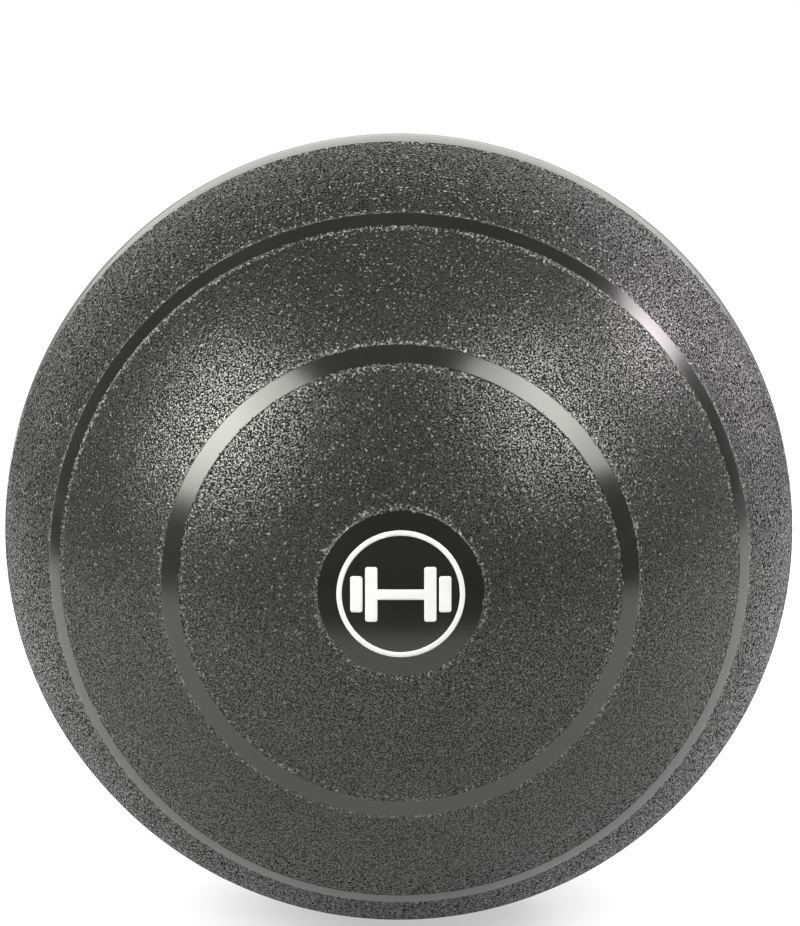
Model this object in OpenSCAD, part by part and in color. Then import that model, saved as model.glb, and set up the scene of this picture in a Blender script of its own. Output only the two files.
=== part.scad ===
// Sand-filled, no-bounce exercise ball with a grained shell and raised smooth bands.
// The origin is the centre of the ball, +Z is up and the ball faces -Y.
// The bands are rings about the Y axis. The fill port and the needle valve are at +Y.

/* [Ball] */
// Outside diameter, over the smooth bands
ball_d = 280; // [230:5:300]
// Wall thickness of the grained outer shell
shell_wall = 8; // [6:0.5:12]
// Wall thickness of the bladder inside the shell
bladder_wall = 2; // [1.5:0.25:3]
// Gap all round between the bladder and the shell
bladder_gap = 0.2; // [0.1:0.05:0.4]

/* [Bands] */
// Angle from the front pole to the middle of the inner band
inner_band_angle = 34.6; // [30:0.2:40]
// Angle from the front pole to the middle of the outer band
outer_band_angle = 59.2; // [52:0.2:64]
// Width of the inner and outer bands, along the surface
band_w = 7.1; // [4:0.1:9]
// Width of the band round the widest part of the ball
middle_band_w = 23; // [16:0.5:30]
// Diameter of the smooth patch on each pole, straight across
patch_d = 57; // [52:0.5:66]
// How far the bands and patches stand above the grained surface
band_rise = 0.3; // [0.1:0.05:0.6]
// Radius of the groove that marks where the halves of the mould met
parting_groove_r = 0.1; // [0.05:0.05:0.4]

/* [Sand] */
// Height of the settled sand's level top above the centre
sand_level = 0; // [-60:5:60]
// Gap all round between the sand and the bladder
sand_gap = 0.5; // [0.3:0.1:2]
// Radius of the space that the valve holds open in the sand
sand_pocket_r = 11; // [10:0.5:16]

/* [Fill port] */
// Radius of the hole that the sand is poured through
port_r = 15; // [13:0.5:16]
// Radius of the step that holds the head of the plug
port_step_r = 20; // [18.5:0.5:22]
// Depth of the step below the pole
port_step_depth = 4.5; // [4:0.25:5]
// Thickness of the sealing ring under the plug's head
seal_t = 1; // [0.6:0.1:1.2]
// Radial gap round the plug and inside its fitted parts
fit_gap = 0.05; // [0.03:0.01:0.08]

/* [Needle valve] */
// Outside radius of the valve's rubber boot
boot_r = 6; // [5:0.5:7]
// Radius of the boot's flange inside the ball
boot_flange_r = 9; // [8:0.5:9.5]
// Thickness of the boot's flange
boot_flange_t = 2; // [1.5:0.25:2.5]
// How far the boot lies below the pole
boot_recess = 0.8; // [0.5:0.1:1.5]
// How far the boot reaches into the ball past its flange
boot_tail = 8; // [6:0.5:12]
// Radius of the self-sealing insert in the boot
insert_r = 3.5; // [3:0.25:4]
// How far the insert lies below the end of the boot
insert_recess = 0.6; // [0.4:0.1:1]
// Radius of the pump needle's channel
needle_r = 1.1; // [1:0.05:1.25]
// Thickness of rubber left closed at the inner end of the channel
slit_t = 2; // [1.5:0.25:3]
// Depth of the cone that leads the needle in
lead_in = 1.2; // [0.8:0.1:1.6]

/* [Front mark] */
// Outside radius of the printed ring
mark_r = 22; // [20:0.5:24]
// Width of the printed ring's line
mark_line = 1.8; // [1.2:0.1:2.4]
// Height of the dumbbell sign's large plates
mark_plate_h = 19; // [14:0.5:22]
// Thickness of the ink
ink_t = 0.06; // [0.04:0.01:0.1]

/* [Hidden] */
$fn = 240;

// Radii of the spheres, from the outside in
ball_r = ball_d / 2;
grain_r = ball_r - band_rise;
shell_inner_r = ball_r - shell_wall;
bladder_outer_r = shell_inner_r - bladder_gap;
bladder_inner_r = bladder_outer_r - bladder_wall;
sand_r = bladder_inner_r - sand_gap;

// Angles that the bands cover, from the pole
band_half_angle = band_w / 2 / ball_r * 180 / PI;
middle_half_angle = middle_band_w / 2 / ball_r * 180 / PI;
patch_angle = asin(patch_d / 2 / ball_r);

// Places along the port's axis, from the centre of the ball
plug_end_recess = 0.4;
cut_past = 5;
step_floor = ball_r - port_step_depth;
plug_end = bladder_inner_r + plug_end_recess;
boot_end = ball_r - boot_recess;
boot_tail_end = plug_end - boot_flange_t - boot_tail;
boot_floor = boot_tail_end + slit_t;
insert_end = boot_end - insert_recess;
needle_floor = boot_floor + slit_t;
past_surface = ball_r + cut_past;

// Sizes of the dumbbell sign, from its middle outwards
plate_w = 4.2;
plate_gap = 0.9;
grip_half = 8;
grip_h = 3.6;
grip_overlap = 0.2;
small_plate_share = 0.66;
corner_r = 0.9;

// Facets of the small circles
small_fn = 32;

// Turns a shape built along +Z so that it lies along +Y, with its +X kept.
module along_y() {
  rotate([-90, 0, 0])
    children();
}

// A slab across the Y axis that cuts the ball from one polar angle to another.
module slab(from_angle, to_angle) {
  low = ball_r * cos(to_angle);
  high = from_angle == 0 ? past_surface : ball_r * cos(from_angle);
  translate([0, 0, low])
    cylinder(r = past_surface, h = high - low);
}

// The smooth bands and patch of one half, as slabs.
module half_slabs() {
  slab(0, patch_angle);
  slab(inner_band_angle - band_half_angle, inner_band_angle + band_half_angle);
  slab(outer_band_angle - band_half_angle, outer_band_angle + band_half_angle);
  slab(90 - middle_half_angle, 90);
}

// The outside of the ball: the grained sphere with the raised bands on it.
module ball_form() {
  sphere(r = grain_r);
  intersection() {
    sphere(r = ball_r);
    union() {
      half_slabs();
      mirror([0, 0, 1])
        half_slabs();
    }
  }
}

// The fine groove round the middle band.
module parting_groove() {
  rotate_extrude()
    translate([ball_r, 0])
      circle(r = parting_groove_r, $fn = small_fn);
}

// A straight pin along the port's axis between two distances from the centre.
module pin(radius, from, to) {
  translate([0, 0, from])
    cylinder(r = radius, h = to - from);
}

module outer_shell() {
  color([0.12, 0.12, 0.12])
    along_y()
      difference() {
        ball_form();
        sphere(r = shell_inner_r);
        pin(port_r, 0, past_surface);
        pin(port_step_r, step_floor, past_surface);
        parting_groove();
      }
}

module inner_bladder() {
  color([0.2, 0.2, 0.21])
    along_y()
      difference() {
        sphere(r = bladder_outer_r);
        sphere(r = bladder_inner_r);
        pin(port_r, 0, past_surface);
      }
}

// The loose sand, settled level, with the space round the valve left open.
module sand_fill() {
  color([0.3, 0.28, 0.26])
    difference() {
      sphere(r = sand_r);
      translate([-ball_r, -ball_r, sand_level])
        cube([ball_d, ball_d, ball_d]);
      along_y()
        pin(sand_pocket_r, boot_tail_end - sand_gap, past_surface);
    }
}

// The bonded plug: a head that carries on the ball's curve, and a shank through both walls.
module fill_plug() {
  color([0.1, 0.1, 0.1])
    along_y()
      difference() {
        intersection() {
          union() {
            pin(port_step_r - fit_gap, step_floor + seal_t, past_surface);
            pin(port_r - fit_gap, plug_end, step_floor + seal_t);
          }
          sphere(r = ball_r);
        }
        pin(boot_r, 0, past_surface);
      }
}

module plug_seal() {
  color([0.45, 0.12, 0.1])
    along_y()
      difference() {
        pin(port_step_r - 2 * fit_gap, step_floor, step_floor + seal_t);
        pin(port_r + 2 * fit_gap, 0, past_surface);
      }
}

// The rubber boot: a tube through the plug, flanged inside and closed at its inner end.
module valve_boot() {
  color([0.16, 0.16, 0.16])
    along_y()
      difference() {
        union() {
          pin(boot_r - fit_gap, boot_tail_end, boot_end);
          pin(boot_flange_r, plug_end - boot_flange_t, plug_end);
        }
        pin(insert_r, boot_floor, past_surface);
      }
}

// The self-sealing insert, with the channel and lead-in for a pump needle.
module valve_insert() {
  color([0.08, 0.08, 0.08])
    along_y()
      difference() {
        pin(insert_r - fit_gap, boot_floor, insert_end);
        pin(needle_r, needle_floor, past_surface);
        translate([0, 0, insert_end - lead_in])
          cylinder(r1 = needle_r, r2 = needle_r + lead_in, h = lead_in);
      }
}

// A rectangle with round corners, centred on its own middle.
module rounded(width, height) {
  square([width, height - 2 * corner_r], center = true);
  square([width - 2 * corner_r, height], center = true);
  for (x = [-1, 1], y = [-1, 1])
    translate([x * (width / 2 - corner_r), y * (height / 2 - corner_r)])
      circle(r = corner_r, $fn = small_fn);
}

// The large plate, the small plate and the end of the bar, on one side of the sign.
module sign_side() {
  large_x = grip_half + plate_w / 2;
  small_x = large_x + plate_w + plate_gap;
  translate([large_x, 0])
    rounded(plate_w, mark_plate_h);
  translate([small_x, 0])
    rounded(plate_w, small_plate_share * mark_plate_h);
}

module dumbbell_sign() {
  square([2 * (grip_half + grip_overlap), grip_h], center = true);
  sign_side();
  mirror([1, 0])
    sign_side();
}

// The printed sign on the front patch: a thin layer of ink that follows the ball.
module front_mark() {
  color([0.95, 0.95, 0.93])
    intersection() {
      difference() {
        sphere(r = ball_r + ink_t);
        sphere(r = ball_r);
      }
      rotate([90, 0, 0])
        linear_extrude(height = past_surface) {
          difference() {
            circle(r = mark_r);
            circle(r = mark_r - mark_line);
          }
          dumbbell_sign();
        }
    }
}

outer_shell();
inner_bladder();
sand_fill();
fill_plug();
plug_seal();
valve_boot();
valve_insert();
front_mark();
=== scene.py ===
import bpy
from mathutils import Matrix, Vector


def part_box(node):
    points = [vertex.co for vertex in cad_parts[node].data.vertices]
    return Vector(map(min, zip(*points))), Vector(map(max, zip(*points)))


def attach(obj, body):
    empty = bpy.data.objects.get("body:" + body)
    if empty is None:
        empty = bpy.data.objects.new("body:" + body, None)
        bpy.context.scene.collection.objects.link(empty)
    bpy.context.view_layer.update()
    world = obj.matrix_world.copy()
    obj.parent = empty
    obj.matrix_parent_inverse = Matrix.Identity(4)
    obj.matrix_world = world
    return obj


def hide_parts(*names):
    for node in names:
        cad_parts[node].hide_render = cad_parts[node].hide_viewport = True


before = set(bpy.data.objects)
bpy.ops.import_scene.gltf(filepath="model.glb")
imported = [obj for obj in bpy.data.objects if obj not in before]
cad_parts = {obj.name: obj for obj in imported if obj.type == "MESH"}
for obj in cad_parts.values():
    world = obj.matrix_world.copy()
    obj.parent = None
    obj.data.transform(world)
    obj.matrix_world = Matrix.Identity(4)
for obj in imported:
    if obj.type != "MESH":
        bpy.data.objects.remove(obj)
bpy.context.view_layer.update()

# The looks of the sand-filled exercise ball: a grained rubber shell with smooth raised bands,
# a printed sign in front, and a bonded plug with a needle valve behind.

from math import asin, cos, degrees, pi, radians, sin, sqrt, tan

import bmesh
import bpy
from mathutils import Vector

MM = 0.001

# ---- Sizes, in metres and degrees. The bands are where the CAD shell has them. ----

shell_low, shell_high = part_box("outer_shell")
plug_low, plug_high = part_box("fill_plug")
seal_low, seal_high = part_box("plug_seal")
boot_low, boot_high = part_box("valve_boot")
insert_low, insert_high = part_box("valve_insert")
mark_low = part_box("front_mark")[0]

BALL_R = (shell_high[0] - shell_low[0]) / 2
BAND_RISE = 0.3 * MM
GRAIN_R = BALL_R - BAND_RISE
SHELL_WALL = 8 * MM
SHELL_INNER_R = BALL_R - SHELL_WALL

INNER_BAND_ANGLE = 34.6
OUTER_BAND_ANGLE = 59.2
BAND_W = 7.1 * MM
MIDDLE_BAND_W = 23 * MM
PATCH_D = 57 * MM
GROOVE_R = 0.1 * MM
EDGE_W = 0.45 * MM

BAND_HALF_ANGLE = degrees(BAND_W / 2 / BALL_R)
MIDDLE_HALF_ANGLE = degrees(MIDDLE_BAND_W / 2 / BALL_R)
PATCH_ANGLE = degrees(asin(PATCH_D / 2 / BALL_R))

# The middle of each smooth band, as an angle from the pole, and half its width. The last one is the patch.
BANDS = (
    (INNER_BAND_ANGLE, BAND_HALF_ANGLE),
    (OUTER_BAND_ANGLE, BAND_HALF_ANGLE),
    (90, MIDDLE_HALF_ANGLE),
    (0, PATCH_ANGLE))

PORT_R = 15 * MM
FIT_GAP = 0.05 * MM
PORT_STEP_R = plug_high[0] + FIT_GAP
STEP_FLOOR_Y = seal_low[1]
BOOT_R = 6 * MM
BOOT_FLANGE_T = 2 * MM
BOOT_FLOOR_T = 2 * MM
INSERT_R = 3.5 * MM
NEEDLE_R = 1.1 * MM
NEEDLE_LEAD_IN = 1.2 * MM
SLIT_T = 2 * MM

FLOOR_Z = -BALL_R
SHELL_SEGMENTS, PLUG_SEGMENTS, BOOT_SEGMENTS, INSERT_SEGMENTS = 320, 192, 128, 96


# ---- Mesh helpers ----

def new_object(name, data):
    obj = bpy.data.objects.new(name, data)
    bpy.context.scene.collection.objects.link(obj)
    return obj


def mesh_object(name, bm, smooth=True):
    """Turns a bmesh into an object. A closed form gets all its normals outwards."""
    bmesh.ops.recalc_face_normals(bm, faces=bm.faces)
    mesh = bpy.data.meshes.new(name)
    bm.to_mesh(mesh)
    bm.free()
    for face in mesh.polygons:
        face.use_smooth = smooth
    return new_object(name, mesh)


def revolve(name, profile, segments):
    """Revolves a closed outline of (radius, y) points about Y. A point on the axis becomes one vertex."""
    bm = bmesh.new()
    turns = [2 * pi * i / segments for i in range(segments)]
    rings = []
    for radius, y in profile:
        if radius < 1e-7:
            rings.append([bm.verts.new((0, y, 0))])
        else:
            rings.append([bm.verts.new((radius * sin(turn), y, radius * cos(turn))) for turn in turns])
    pairs = list(zip(rings, rings[1:]))
    if len(rings[0]) > 1:
        pairs.append((rings[-1], rings[0]))
    for a, b in pairs:
        for i in range(segments):
            j = (i + 1) % segments
            corners = [a[i % len(a)], a[j % len(a)], b[j % len(b)], b[i % len(b)]]
            kept = [v for k, v in enumerate(corners) if v not in corners[:k]]
            if len(kept) > 2:
                bm.faces.new(kept)
    return mesh_object(name, bm)


def on_sphere(radius, angle):
    """The outline point of a sphere at an angle, in degrees, from the front pole at -Y."""
    return radius * sin(radians(angle)), -radius * cos(radians(angle))


def round_corner(before, corner, after, radius, steps=5):
    """Points of an arc that rounds the corner of an outline between its two neighbours."""
    longest_share = 0.49
    p, a, b = Vector(corner), Vector(before), Vector(after)
    to_a, to_b = (a - p).normalized(), (b - p).normalized()
    half = to_a.angle(to_b) / 2
    cut = min(radius / tan(half), longest_share * (a - p).length, longest_share * (b - p).length)
    real_r = cut * tan(half)
    centre = p + (to_a + to_b).normalized() * (real_r / sin(half))
    start = p + to_a * cut - centre
    end = p + to_b * cut - centre
    sweep = start.angle_signed(end)
    points = []
    for i in range(steps + 1):
        turn = -sweep * i / steps
        points.append(tuple(centre + Vector((
            start.x * cos(turn) - start.y * sin(turn),
            start.x * sin(turn) + start.y * cos(turn)))))
    return points


# ---- Node helpers ----

class Nodes:
    """A material's or world's node tree, with short calls to add and join nodes."""

    def __init__(self, owner):
        owner.use_nodes = True
        self.tree = owner.node_tree
        self.tree.nodes.clear()

    def add(self, kind, **settings):
        node = self.tree.nodes.new(kind)
        for key, value in settings.items():
            setattr(node, key, value)
        return node

    def put(self, value, socket):
        """Joins a socket to a socket, or sets a plain value on it."""
        if isinstance(value, bpy.types.NodeSocket):
            self.tree.links.new(value, socket)
        else:
            socket.default_value = value

    def math(self, operation, a, b=0.0):
        node = self.add("ShaderNodeMath", operation=operation)
        self.put(a, node.inputs[0])
        self.put(b, node.inputs[1])
        return node.outputs[0]

    def vector(self, operation, a, by=None, scale=None):
        node = self.add("ShaderNodeVectorMath", operation=operation)
        self.put(a, node.inputs[0])
        if by is not None:
            self.put(by, node.inputs[1])
        if scale is not None:
            self.put(scale, node.inputs["Scale"])
        return node.outputs["Value" if operation == "LENGTH" else "Vector"]

    def split(self, vector):
        """The X, Y and Z of a vector, by name."""
        node = self.add("ShaderNodeSeparateXYZ")
        self.put(vector, node.inputs[0])
        return node.outputs

    def range(self, value, low, high, to_low=0.0, to_high=1.0, smooth=False):
        node = self.add("ShaderNodeMapRange")
        node.interpolation_type = "SMOOTHSTEP" if smooth else "LINEAR"
        self.put(value, node.inputs["Value"])
        self.put(low, node.inputs["From Min"])
        self.put(high, node.inputs["From Max"])
        self.put(to_low, node.inputs["To Min"])
        self.put(to_high, node.inputs["To Max"])
        return node.outputs["Result"]

    def mix(self, factor, a, b):
        """A colour between two colours."""
        node = self.add("ShaderNodeMix", data_type="RGBA")
        self.put(factor, node.inputs[0])
        self.put(a, node.inputs[6])
        self.put(b, node.inputs[7])
        return node.outputs[2]

    def blend(self, factor, a, b):
        """A number between two numbers."""
        node = self.add("ShaderNodeMix", data_type="FLOAT")
        self.put(factor, node.inputs[0])
        self.put(a, node.inputs[2])
        self.put(b, node.inputs[3])
        return node.outputs[0]

    def noise(self, place, size, detail=2.0, roughness=0.5):
        """Noise whose cells are about the given size, in metres."""
        node = self.add("ShaderNodeTexNoise", noise_dimensions="3D")
        self.put(place, node.inputs["Vector"])
        node.inputs["Scale"].default_value = 1 / size
        node.inputs["Detail"].default_value = detail
        node.inputs["Roughness"].default_value = roughness
        return node.outputs["Fac"]

    def cells(self, place, size):
        """Cells about size metres wide: the distance from a cell's middle, and its random numbers."""
        node = self.add("ShaderNodeTexVoronoi", feature="F1")
        self.put(place, node.inputs["Vector"])
        node.inputs["Scale"].default_value = 1 / size
        chance = self.add("ShaderNodeSeparateColor")
        self.put(node.outputs["Color"], chance.inputs[0])
        return node.outputs["Distance"], chance.outputs

    def bump(self, height, distance, strength=1.0, normal=None):
        node = self.add("ShaderNodeBump")
        node.inputs["Distance"].default_value = distance
        node.inputs["Strength"].default_value = strength
        self.put(height, node.inputs["Height"])
        if normal is not None:
            self.put(normal, node.inputs["Normal"])
        return node.outputs["Normal"]

    def place(self):
        """The point that is shaded, in metres from the object's origin."""
        return self.add("ShaderNodeTexCoord").outputs["Object"]

    def surface(self, shader, output="ShaderNodeOutputMaterial"):
        self.put(shader.outputs[0], self.add(output).inputs[0])

    def principled(self, **sockets):
        shader = self.add("ShaderNodeBsdfPrincipled")
        for name, value in sockets.items():
            self.put(value, shader.inputs[name.replace("_", " ")])
        self.surface(shader)


def material(name):
    made = bpy.data.materials.new(name)
    return made, Nodes(made)


# ---- The shell's material ----

RIDGE_SIZE = 0.6 * MM
LUMP_SIZE = 1.0 * MM
NODULE_SIZE = 1.8 * MM
NIBBLE_SIZE, NIBBLE_DEPTH = 1.1 * MM, 2.6 * MM
FLECK_SIZE = 0.95 * MM
DUST_SIZE = 0.25 * MM
SMEAR_SIZE, SWELL_SIZE = 34 * MM, 45 * MM
GRAIN_DEPTH, SWELL_DEPTH = 0.12 * MM, 0.25 * MM

# Distances from the edge of a smooth band over which the grain, its beads and its shoulder begin or end
GRAIN_START = 0.05 * MM, 0.35 * MM
BEAD_END = 0.35 * MM, 1.2 * MM
SHOULDER_END = 1.2 * MM, 3.2 * MM

# Where the shell's other zones change: the rim by distance from the middle plane, the upper side by height
PATCH_FADE = 1.5 * MM
RIM_END = 0.42 * BALL_R, 0.49 * BALL_R
UPPER_START = -0.35 * BALL_R, 0.35 * BALL_R

# Linear colours, each from its darker shade to its paler one
BLACK = (0.0, 0.0, 0.0, 1)
# PIT is darker than CREST: painted shade in the grain's pits.
PIT = (0.0080, 0.0082, 0.0068, 1), (0.0105, 0.0108, 0.0090, 1)
CREST = (0.0195, 0.0200, 0.0170, 1), (0.0255, 0.0261, 0.0222, 1)
FLAT = (0.0125, 0.0127, 0.0108, 1), (0.0155, 0.0158, 0.0134, 1)
# Pale tips of nodules and beads: painted glints, the paler shade on the upper side.
TIP = (0.065, 0.065, 0.060, 1), (0.21, 0.21, 0.195, 1)
# Pale flecks: painted glints, paler beside a band and palest on the rim.
FLECK = (0.18, 0.18, 0.166, 1)
SHOULDER_FLECK = (0.25, 0.25, 0.23, 1)
RIM_FLECK = (0.33, 0.33, 0.305, 1)


def distance_to_smooth(n, place):
    """Arc distance, in metres, from a point of the shell to the nearest band or patch; negative on it."""
    from_pole = n.math("ARCCOSINE", n.math("ABSOLUTE", n.split(n.vector("NORMALIZE", place))["Y"]))
    arc = n.math("MULTIPLY", from_pole, BALL_R)
    edges = []
    for angle, half_angle in BANDS:
        off = n.math("ABSOLUTE", n.math("SUBTRACT", arc, radians(angle) * BALL_R))
        edges.append(n.math("SUBTRACT", off, radians(half_angle) * BALL_R))
    nearest = edges[0]
    for edge in edges[1:]:
        nearest = n.math("MINIMUM", nearest, edge)
    return nearest


def even_noise(n, place, size):
    """Noise averaged over a little depth. Its broad blotches go, and an even, fine maze stays."""
    depth = 0.4 * size / BALL_R
    layers = (-1, 0, 1)
    total = 0.0
    for layer in layers:
        deeper = n.vector("SCALE", place, scale=1 + layer * depth)
        total = n.math("ADD", n.noise(deeper, size, detail=0.0), total)
    return n.math("DIVIDE", total, float(len(layers)))


def nodules(n, place):
    """Sparse steep grains among the ridges, which catch a light from far round the ball."""
    distance, chance = n.cells(place, NODULE_SIZE)
    radius = n.range(chance[0], 0.3, 1.0, 0.01, 0.27)
    return n.range(distance, 0.0, radius, 1.0, 0.0, smooth=True)


class Grain:
    """The parts of the moulded grain and the zones of the shell, each as a number from 0 to 1."""

    def __init__(self, n, place):
        self.ridge = n.range(even_noise(n, place, RIDGE_SIZE), 0.45, 0.55, smooth=True)
        self.lump = n.range(n.noise(place, LUMP_SIZE, detail=1.0), 0.36, 0.64, smooth=True)
        self.nodule = nodules(n, place)
        self.relief = n.math("MULTIPLY", self.ridge, n.range(self.lump, 0.0, 1.0, 0.9, 1.0))

        nibble = n.math("SUBTRACT", n.noise(place, NIBBLE_SIZE, detail=1.0), 0.5)
        edge = n.math("ADD", distance_to_smooth(n, place), n.math("MULTIPLY", nibble, NIBBLE_DEPTH))
        self.grained = n.range(edge, *GRAIN_START, smooth=True)
        self.bead = n.math("MULTIPLY", self.ridge, n.range(edge, *BEAD_END, 0.5, 0.0, smooth=True))
        self.shoulder = n.range(edge, *SHOULDER_END, 1.0, 0.0, smooth=True)

        at = n.split(place)
        off_middle = n.math("ABSOLUTE", at["Y"])
        patch_edge_y = BALL_R * cos(radians(PATCH_ANGLE))
        self.patch = n.range(off_middle, patch_edge_y - PATCH_FADE, patch_edge_y)
        self.rim = n.range(off_middle, *RIM_END, 1.0, 0.0)
        self.upper = n.range(at["Z"], *UPPER_START)


def grain_height(n, grain):
    """The grain's relief, which fades out on the smooth bands."""
    height = n.math("ADD", n.math("MULTIPLY", grain.ridge, 0.7), n.math("MULTIPLY", grain.lump, 0.4))
    height = n.math("ADD", height, n.math("MULTIPLY", grain.nodule, 2.2))
    height = n.math("ADD", height, grain.bead)
    return n.math("MULTIPLY", height, grain.grained)


def painted_glint_mask(n, place, grain):
    """Small pale spots, painted glints on the grain: more of them beside a band, fewer in the pits and on
    the underside.
    """
    least = n.blend(grain.shoulder, 0.69, 0.575)
    fleck = n.range(n.noise(place, FLECK_SIZE, detail=0.0), least, n.math("ADD", least, 0.08), smooth=True)
    # Painted glints are denser on the upper side and beside a band.
    painted_glint_share = n.math("MAXIMUM", n.range(grain.upper, 0, 1, 0.3, 1.0), n.math("MULTIPLY", grain.shoulder, 0.6))
    return n.math("MULTIPLY", fleck, n.math("MULTIPLY", n.range(grain.ridge, 0, 1, 0.5, 1.0), painted_glint_share))


def shell_colour(n, place, grain, shade):
    """Dark crests, and pits darkened with painted shade, the grain darker on top with painted shade; pale
    flecks, beads and nodule tips as painted glints, palest on top; plain bands, darkest on the patches.
    """
    flat = n.mix(n.math("MULTIPLY", grain.patch, 0.2), n.mix(shade, *FLAT), BLACK)
    # Painted shade: the pits darker than the crests.
    ground = n.mix(grain.relief, n.mix(shade, *PIT), n.mix(shade, *CREST))
    # Painted shade: the grain's ground is darker towards the top of the ball.
    ground = n.mix(n.math("MULTIPLY", grain.upper, 0.3), ground, BLACK)
    # Painted glints: pale flecks on the grain.
    pale = n.mix(grain.rim, n.mix(grain.shoulder, FLECK, SHOULDER_FLECK), RIM_FLECK)
    ground = n.mix(painted_glint_mask(n, place, grain), ground, pale)
    # Painted glints: pale nodule tips and beads, palest on the upper side.
    tip = n.math("MAXIMUM", n.range(grain.nodule, 0.05, 0.4, smooth=True), grain.bead)
    return n.mix(grain.grained, flat, n.mix(tip, ground, n.mix(grain.upper, *TIP)))


def shell_gloss(n, grain):
    """Crests shine more than pits. Seen edge on, low grains hide behind high ones and lose their gloss."""
    facing = n.add("ShaderNodeLayerWeight")
    facing.inputs["Blend"].default_value = 0.5
    hidden = n.range(facing.outputs["Facing"], 0.3, 1.0, 0.0, 0.64)
    shown = n.range(n.math("SUBTRACT", grain.lump, hidden), -0.25, 0.05)
    pit = n.blend(grain.rim, n.blend(grain.upper, 0.20, 0.12), 0.02)
    crest = n.blend(grain.rim, n.blend(grain.upper, 0.55, 0.75), 0.95)
    relief = n.math("MULTIPLY", n.blend(grain.relief, pit, crest), shown)
    grained_gloss = n.math("MAXIMUM", relief, n.math("MAXIMUM", grain.nodule, grain.bead))
    band_gloss = n.blend(grain.patch, 0.5, 0.4)
    return n.blend(grain.grained, band_gloss, grained_gloss)


def shell_roughness(n, place, grain, smears):
    """Matt pits, satin crests, and smeared, smoother bands."""
    band_rough = n.range(smears, 0.3, 0.75, 0.17, 0.22)
    pit_rough = 0.72
    crest_rough = n.range(n.noise(place, DUST_SIZE), 0.3, 0.7, 0.24, 0.34)
    shiny = n.math("MAXIMUM", grain.ridge, n.math("MAXIMUM", grain.nodule, grain.bead))
    return n.blend(grain.grained, band_rough, n.blend(shiny, pit_rough, crest_rough))


def shell_rubber():
    """Dark rubber: a fine maze of moulded ridges, and smooth, glossier bands and patches."""
    made, n = material("shell_rubber")
    place = n.place()
    grain = Grain(n, place)
    smears = n.noise(place, SMEAR_SIZE, detail=4.0, roughness=0.6)
    swell = n.bump(n.noise(place, SWELL_SIZE), SWELL_DEPTH, 0.25)
    n.principled(
        Base_Color=shell_colour(n, place, grain, n.range(smears, 0.3, 0.7)),
        Roughness=shell_roughness(n, place, grain, smears),
        Specular_IOR_Level=shell_gloss(n, grain),
        Specular_Tint=(0.985, 1.0, 0.93, 1),
        Normal=n.bump(grain_height(n, grain), GRAIN_DEPTH, 1.0, swell),
        IOR=1.5)
    return made


# ---- The other materials ----

def plug_plastic():
    """Moulded plastic, matte, with the faint rings of a turned mould."""
    made, n = material("plug_plastic")
    place = n.place()
    ring_pitch = 2 * MM
    specks = n.noise(place, 0.8 * MM, detail=3.0, roughness=0.6)
    cloud = n.noise(place, 12 * MM, detail=3.0)
    from_axis = n.vector("LENGTH", n.vector("MULTIPLY", place, by=(1, 0, 1)))
    rings = n.math("SINE", n.math("MULTIPLY", from_axis, 2 * pi / ring_pitch))
    n.principled(
        Base_Color=n.mix(cloud, (0.016, 0.016, 0.016, 1), (0.026, 0.026, 0.025, 1)),
        Roughness=n.range(cloud, 0.3, 0.7, 0.34, 0.46),
        Normal=n.bump(specks, 0.05 * MM, 0.5, n.bump(rings, 0.02 * MM)),
        IOR=1.49)
    return made


def valve_rubber():
    """Soft black rubber with a dusty bloom."""
    made, n = material("valve_rubber")
    place = n.place()
    bloom = n.noise(place, 3 * MM, detail=4.0, roughness=0.65)
    specks = n.noise(place, 0.4 * MM)
    n.principled(
        Base_Color=n.mix(n.range(bloom, 0.4, 0.7), (0.02, 0.02, 0.02, 1), (0.045, 0.044, 0.042, 1)),
        Roughness=n.range(bloom, 0.3, 0.7, 0.5, 0.66),
        Normal=n.bump(specks, 0.04 * MM, 0.6))
    return made


def bladder_rubber():
    """Grey rubber of the hidden bladder."""
    made, n = material("bladder_rubber")
    place = n.place()
    cloud = n.noise(place, 20 * MM, detail=4.0)
    specks = n.noise(place, 1.2 * MM, detail=3.0)
    n.principled(
        Base_Color=n.mix(cloud, (0.07, 0.07, 0.075, 1), (0.10, 0.10, 0.105, 1)),
        Roughness=n.range(cloud, 0.3, 0.7, 0.4, 0.55),
        Normal=n.bump(specks, 0.08 * MM, 0.5))
    return made


def seal_rubber():
    """Red-brown rubber of the hidden sealing ring."""
    made, n = material("seal_rubber")
    cloud = n.noise(n.place(), 4 * MM, detail=4.0)
    n.principled(
        Base_Color=n.mix(cloud, (0.24, 0.035, 0.025, 1), (0.34, 0.06, 0.045, 1)),
        Roughness=n.range(cloud, 0.3, 0.7, 0.42, 0.55),
        Normal=n.bump(cloud, 0.03 * MM, 0.5))
    return made


def iron_sand():
    """Dark sand with pale and rusty grains."""
    made, n = material("iron_sand")
    distance, chance = n.cells(n.place(), 0.9 * MM)
    dark = n.mix(chance[0], (0.05, 0.045, 0.042, 1), (0.16, 0.14, 0.12, 1))
    n.principled(
        Base_Color=n.mix(n.range(chance[1], 0.86, 0.9), dark, (0.38, 0.31, 0.24, 1)),
        Roughness=n.range(chance[2], 0, 1, 0.5, 0.8),
        Normal=n.bump(distance, 0.4 * MM, 0.8))
    return made


def white_ink():
    """Pad-printed ink: off-white, slightly uneven, with a soft sheen."""
    made, n = material("white_ink")
    place = n.place()
    cloud = n.noise(place, 6 * MM, detail=4.0, roughness=0.6)
    specks = n.noise(place, 0.5 * MM)
    n.principled(
        Base_Color=n.mix(cloud, (0.52, 0.525, 0.51, 1), (0.59, 0.595, 0.58, 1)),
        Roughness=n.range(cloud, 0.3, 0.7, 0.36, 0.48),
        Normal=n.bump(specks, 0.02 * MM, 0.5))
    return made


# ---- The shell ----

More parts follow.
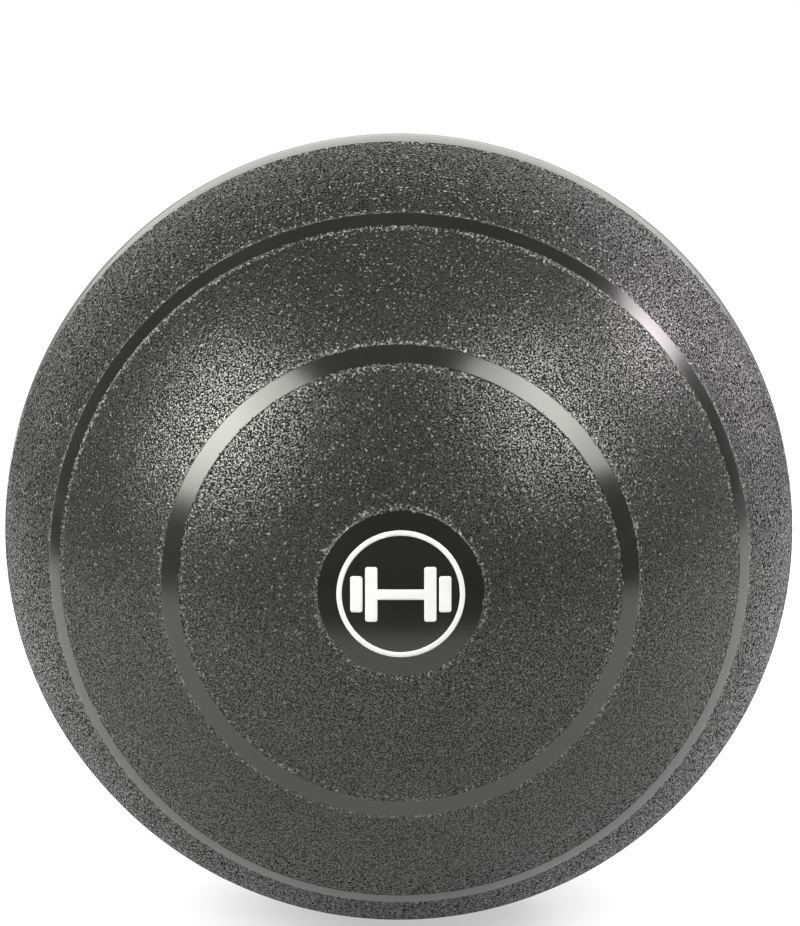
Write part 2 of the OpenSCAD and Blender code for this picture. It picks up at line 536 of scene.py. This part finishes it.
def shell_radius(angle):
    """Outer radius at an angle from the front pole: a grained sphere, and bands raised on rounded edges."""
    from_pole = 90 - abs(90 - angle)
    outside = min(abs(from_pole - middle) - half for middle, half in BANDS)
    t = min(max(1 - radians(outside) * BALL_R / EDGE_W, 0.0), 1.0)
    return GRAIN_R + BAND_RISE * sin(t * pi / 2)


def band_edges():
    """The angles of all edges between smooth and grained, in both halves."""
    edges = [PATCH_ANGLE, 90 - MIDDLE_HALF_ANGLE]
    for middle in (INNER_BAND_ANGLE, OUTER_BAND_ANGLE):
        edges += [middle - BAND_HALF_ANGLE, middle + BAND_HALF_ANGLE]
    return edges + [180 - edge for edge in edges]


def shell_angles(last):
    """Angles of the outer rings: even steps, fine steps across every band edge, and none on the groove."""
    step, fine_steps = 1.3, 3
    groove_room, end_room = 0.5, 0.15
    edge_angle = degrees(EDGE_W / BALL_R)
    edge_room = 2 * edge_angle
    edges = band_edges()
    fine = [e + edge_angle * i / fine_steps for e in edges for i in range(-fine_steps - 1, fine_steps + 2)]
    even = [step * i for i in range(int(last / step) + 1)]
    even = [a for a in even if all(abs(a - e) > edge_room for e in edges) and abs(a - 90) > groove_room]
    return sorted(a for a in set(fine + even) if a < last - end_room)


def skin_points(angles):
    """Outline points of the shell's outside, at angles from the front pole."""
    return [on_sphere(shell_radius(a), a) for a in angles]


def parting_groove_points(steps=8):
    """The fine groove at the widest part, as half a circle cut into the middle band."""
    turns = [pi * i / steps for i in range(steps + 1)]
    return [(BALL_R - GROOVE_R * sin(turn), -GROOVE_R * cos(turn)) for turn in turns]


def build_shell():
    """One closed skin: outside with bands and groove, the stepped port behind, and the inner wall."""
    port_edge_angle = 180 - degrees(asin(PORT_STEP_R / BALL_R))
    angles = shell_angles(port_edge_angle)
    beside_groove = [degrees(GROOVE_R / BALL_R) * k for k in (1.15, 1.6, 3)]
    front = skin_points([a for a in angles if a < 90] + [90 - a for a in reversed(beside_groove)])
    rear = skin_points([90 + a for a in beside_groove] + [a for a in angles if a > 90])
    rim = on_sphere(BALL_R, port_edge_angle)
    step_floor = (PORT_STEP_R, STEP_FLOOR_Y)
    port_top = (PORT_R, STEP_FLOOR_Y)
    port_end = (PORT_R, sqrt(SHELL_INNER_R ** 2 - PORT_R ** 2))
    outline = front + parting_groove_points() + rear
    outline += round_corner(outline[-1], rim, step_floor, 0.5 * MM)
    outline += [step_floor] + round_corner(step_floor, port_top, port_end, 0.3 * MM, 3)
    inner_last = 180 - degrees(asin(PORT_R / SHELL_INNER_R))
    rings = 40
    outline += [on_sphere(SHELL_INNER_R, inner_last * (rings - i) / rings) for i in range(rings + 1)]
    return revolve("shell_skin", outline, SHELL_SEGMENTS)


# ---- The plug and the valve ----

def build_plug():
    """The fill plug: a head on the ball's curve with a rounded rim, and a shank through the walls."""
    head_r = plug_high[0]
    shank_r = PORT_R - FIT_GAP
    head_angle = degrees(asin(head_r / BALL_R))
    mouth_angle = degrees(asin(BOOT_R / BALL_R))
    rim = on_sphere(BALL_R, 180 - head_angle)
    mouth = on_sphere(BALL_R, 180 - mouth_angle)
    under = (head_r, seal_high[1])
    shank_top = (shank_r, seal_high[1])
    shank_end = (shank_r, plug_low[1])
    bore_end = (BOOT_R, plug_low[1])
    steps = 14
    face = [
        on_sphere(BALL_R, 180 - head_angle + (head_angle - mouth_angle) * i / steps)
        for i in range(1, steps)]
    outline = round_corner(under, rim, face[0], 0.5 * MM)
    outline += face
    outline += round_corner(face[-1], mouth, bore_end, 0.4 * MM)
    outline += round_corner(mouth, bore_end, shank_end, 0.3 * MM, 3)
    outline += round_corner(bore_end, shank_end, shank_top, 0.3 * MM, 3)
    outline += [shank_top]
    outline += round_corner(shank_top, under, rim, 0.2 * MM, 3)
    return revolve("plug_body", outline, PLUG_SEGMENTS)


def build_boot():
    """The valve's rubber boot: a round-lipped tube, flanged inside and closed at its tail."""
    tube_r = BOOT_R - FIT_GAP
    tail = boot_low[1]
    flange_top = plug_low[1]
    flange_bottom = flange_top - BOOT_FLANGE_T
    heel = (tube_r, tail)
    neck = (tube_r, flange_bottom)
    flange_low = (boot_high[0], flange_bottom)
    flange_high = (boot_high[0], flange_top)
    root = (tube_r, flange_top)
    lip_out = (tube_r, boot_high[1])
    lip_in = (INSERT_R, boot_high[1])
    floor_edge = (INSERT_R, tail + BOOT_FLOOR_T)
    outline = [(0, tail)]
    outline += round_corner((0, tail), heel, neck, 1.2 * MM)
    outline += [neck]
    outline += round_corner(neck, flange_low, flange_high, 0.5 * MM)
    outline += round_corner(flange_low, flange_high, root, 0.5 * MM)
    outline += [root]
    outline += round_corner(root, lip_out, lip_in, 0.9 * MM, 7)
    outline += round_corner(lip_out, lip_in, floor_edge, 0.5 * MM)
    outline += [floor_edge, (0, tail + BOOT_FLOOR_T)]
    return revolve("boot_body", outline, BOOT_SEGMENTS)


def build_insert():
    """The self-sealing insert, with a rounded lead-in to the needle channel."""
    outer_r = insert_high[0]
    top, bottom = insert_high[1], insert_low[1]
    foot = (outer_r, bottom)
    rim = (outer_r, top)
    brow = (NEEDLE_R + NEEDLE_LEAD_IN, top)
    throat = (NEEDLE_R, top - NEEDLE_LEAD_IN)
    channel_end = (NEEDLE_R, bottom + SLIT_T)
    outline = [(0, bottom)]
    outline += round_corner((0, bottom), foot, rim, 0.4 * MM)
    outline += round_corner(foot, rim, brow, 0.5 * MM)
    outline += round_corner(rim, brow, throat, 0.5 * MM)
    outline += round_corner(brow, throat, channel_end, 0.6 * MM)
    outline += [channel_end, (0, bottom + SLIT_T)]
    return revolve("insert_body", outline, INSERT_SEGMENTS)


# ---- The printed sign ----

def build_sign():
    """The ink, from the CAD sign's own outline, cut fine and laid exactly on the ball's curve."""
    weld_distance = clearance = 0.002 * MM
    longest_edge, most_cuts = 1.2 * MM, 7
    top_r = -mark_low[1]
    bm = bmesh.new()
    bm.from_mesh(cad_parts["front_mark"].data)
    bmesh.ops.remove_doubles(bm, verts=bm.verts, dist=weld_distance)
    for _ in range(most_cuts):
        long_edges = [e for e in bm.edges if e.calc_length() > longest_edge]
        if not long_edges:
            break
        bmesh.ops.subdivide_edges(bm, edges=long_edges, cuts=1)
        bmesh.ops.triangulate(bm, faces=bm.faces)
    for v in bm.verts:
        outside = v.co.length > (BALL_R + top_r) / 2
        v.co = v.co.normalized() * (top_r if outside else BALL_R + clearance)
    return mesh_object("sign_ink", bm)


# ---- Camera, floor and light ----

def direction(azimuth, elevation):
    """The unit vector away from the ball at angles in degrees; azimuth 0 is its front, 90 its +X side."""
    a, e = radians(azimuth), radians(elevation)
    return Vector((sin(a) * cos(e), -cos(a) * cos(e), sin(e)))


def add_camera():
    """A long lens from slightly above the front, with the ball low in an upright picture."""
    view_w, view_h = 800, 926
    azimuth, elevation = -0.29, 9.57
    distance = 25 * BALL_R
    # The ball's radius, and how far its centre is from the picture's, as shares of the picture's width
    ball_share = 0.4924
    centre_right, centre_down = -0.0016, 0.0795
    away = direction(azimuth, elevation)
    focal = ball_share * view_w * sqrt((distance / BALL_R) ** 2 - 1)
    data = bpy.data.cameras.new("camera")
    data.sensor_width = 36
    data.lens = focal * data.sensor_width / view_h
    data.clip_start, data.clip_end = 0.05, 200
    camera = new_object("camera", data)
    camera.location = away * distance
    right = Vector((cos(radians(azimuth)), sin(radians(azimuth)), 0))
    up = away.cross(right)
    aim = -away * focal - right * centre_right * view_w + up * centre_down * view_w
    camera.rotation_mode = "QUATERNION"
    camera.rotation_quaternion = aim.to_track_quat("-Z", "Y")
    bpy.context.scene.camera = camera


def emitter(name, colour, strength):
    """A glowing material. Its strength is a number, or a function that makes one with nodes."""
    made, n = material(name)
    glow = n.add("ShaderNodeEmission")
    glow.inputs["Color"].default_value = (*colour, 1)
    n.put(strength(n) if callable(strength) else strength, glow.inputs["Strength"])
    n.surface(glow)
    return made


def soft_hotspot(peak, edge):
    """Emission that falls smoothly from the middle of a panel to its edge."""
    def strength(n):
        return n.range(n.vector("LENGTH", n.place()), 0.1, 1.0, peak, edge, smooth=True)
    return strength


def add_panel(name, azimuth, elevation, width, height, colour, strength):
    """A studio panel that faces the ball. The camera doesn't see it; the ball and floor do."""
    distance = 1.5
    away = direction(azimuth, elevation)
    bm = bmesh.new()
    bmesh.ops.create_grid(bm, x_segments=1, y_segments=1, size=1)
    panel = mesh_object(name, bm, smooth=False)
    panel.location = away * distance
    panel.rotation_mode = "QUATERNION"
    panel.rotation_quaternion = away.to_track_quat("Z", "Y")
    panel.scale = (width / 2, height / 2, 1)
    panel.data.materials.append(emitter(name, colour, strength))
    panel.visible_camera = False


def floor_white():
    """White paper that glows in part, so that only a faint real shadow shows; the glow is dimmed under the
    ball as a painted shadow.
    """
    made, n = material("floor_white")
    shadow_r, least_glow = 0.32, 0.5
    from_ball = n.vector("LENGTH", n.place())
    glow = n.add("ShaderNodeEmission")
    glow.inputs["Color"].default_value = (1, 1, 1, 1)
    # Painted shadow: the glow falls from full at shadow_r to least_glow under the ball.
    n.put(n.range(from_ball, 0.0, shadow_r, least_glow, 1.0, smooth=True), glow.inputs["Strength"])
    paper = n.add("ShaderNodeBsdfDiffuse")
    paper.inputs["Color"].default_value = (0.4, 0.4, 0.4, 1)
    both = n.add("ShaderNodeAddShader")
    n.put(glow.outputs[0], both.inputs[0])
    n.put(paper.outputs[0], both.inputs[1])
    n.surface(both)
    return made


def add_floor():
    """A plain white floor that reaches past every view."""
    bm = bmesh.new()
    bmesh.ops.create_circle(bm, cap_ends=True, segments=64, radius=120)
    floor = mesh_object("floor", bm, smooth=False)
    floor.location = (0, 0, FLOOR_Z)
    floor.data.materials.append(floor_white())


def add_backdrop():
    """A white wall far off, seen by the camera but not mirrored, so that low views end in white as well."""
    radius, height = 15, 8
    bm = bmesh.new()
    bmesh.ops.create_cone(bm, cap_ends=False, segments=96, radius1=radius, radius2=radius, depth=height)
    wall = mesh_object("backdrop", bm, smooth=False)
    wall.location = (0, 0, FLOOR_Z + height / 2)
    wall.data.materials.append(emitter("backdrop_white", (1, 1, 1), 1.0))
    wall.visible_diffuse = wall.visible_glossy = wall.visible_shadow = False


def dull_sheet(name, radiance, *faces):
    """A sheet just above the floor that the camera doesn't see. Each face is a list of (x, y) corners."""
    bm = bmesh.new()
    for corners in faces:
        bm.faces.new([bm.verts.new((x, y, FLOOR_Z + 1 * MM)) for x, y in corners])
    sheet = mesh_object(name, bm, smooth=False)
    sheet.data.materials.append(emitter(name, (1, 1, 1), radiance))
    sheet.visible_camera = False


def add_dark_ground():
    """Dark ground in front and at the sides, and a dull strip behind: the ball mirrors a white table top."""
    far = 15
    front = -0.45
    front_left, front_right = (-0.65, front), (0.62, front)
    back_left, back_right = (-1.2, 1.6), (2.1, 1.05)
    dull_sheet(
        "dark_ground", 0.012,
        [(-far, -far), (far, -far), (far, front), (-far, front)],
        [(-far, front), front_left, back_left, (-far, back_left[1])],
        [front_right, (far, front), (far, back_right[1]), back_right])
    dull_sheet(
        "back_ground", 0.3,
        [(-far, back_left[1]), back_left, back_right, (far, back_right[1]), (far, 6 * far), (-far, 6 * far)])


def add_world():
    """Dark surroundings, with a white wall behind the ball and a glow above that for the ball to mirror."""
    dark, wall_glow, upper_glow, right_share = 0.035, 0.64, 0.65, 0.84
    world = bpy.data.worlds.new("studio")
    bpy.context.scene.world = world
    n = Nodes(world)
    at = n.split(n.add("ShaderNodeTexCoord").outputs["Generated"])
    behind = n.range(at["Y"], 0.55, 0.8, smooth=True)
    low = n.range(at["Z"], 0.35, 0.6, 1.0, 0.0, smooth=True)
    dimmed = n.range(at["X"], 0.0, 0.25, 1.0, right_share)
    wall = n.math("MULTIPLY", n.math("MULTIPLY", behind, low), dimmed)
    behind_above = n.range(at["Y"], 0.45, 0.7, smooth=True)
    upper = n.math("MULTIPLY", behind_above, n.range(at["Z"], 0.78, 0.92, upper_glow, 0.0, smooth=True))
    glow = n.add("ShaderNodeBackground")
    glow.inputs["Color"].default_value = (1.0, 1.0, 0.965, 1)
    n.put(n.math("ADD", n.range(wall, 0, 1, dark, wall_glow), upper), glow.inputs["Strength"])
    n.surface(glow, "ShaderNodeOutputWorld")


def add_lights():
    """Two soft boxes in front, and two slightly pink panels behind on the right."""
    add_panel("left_softbox", -59.5, 30.8, 1.0, 1.03, (1.0, 0.99, 0.95), soft_hotspot(18.5, 11.5))
    add_panel("right_softbox", 52.5, 36.8, 0.9, 1.0, (0.97, 1.0, 0.96), soft_hotspot(14.5, 9))
    add_panel("rear_window", 104, 34, 0.8, 0.38, (1.0, 0.91, 0.97), soft_hotspot(20, 9))
    add_panel("rear_fill", 138, 16, 0.95, 0.95, (1.0, 0.91, 0.98), 2.4)


# ---- Assembly ----

def dress(piece, body, made, replaced):
    """Gives a piece its material, hangs it on its body, and hides the CAD part that it replaces."""
    piece.data.materials.append(made)
    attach(piece, body)
    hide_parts(replaced)


def dress_cad(node, made):
    """Gives a carried-over CAD node a new material."""
    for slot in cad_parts[node].material_slots:
        slot.material = made


bpy.context.scene.view_settings.view_transform = "Standard"
add_camera()
add_floor()
add_backdrop()
add_dark_ground()
add_world()
add_lights()

valve_material = valve_rubber()
dress(build_shell(), "ball", shell_rubber(), "outer_shell")
dress(build_plug(), "ball", plug_plastic(), "fill_plug")
dress(build_boot(), "ball", valve_material, "valve_boot")
dress(build_insert(), "ball", valve_material, "valve_insert")
dress(build_sign(), "ball", white_ink(), "front_mark")
dress_cad("inner_bladder", bladder_rubber())
dress_cad("plug_seal", seal_rubber())
dress_cad("sand_fill", iron_sand())
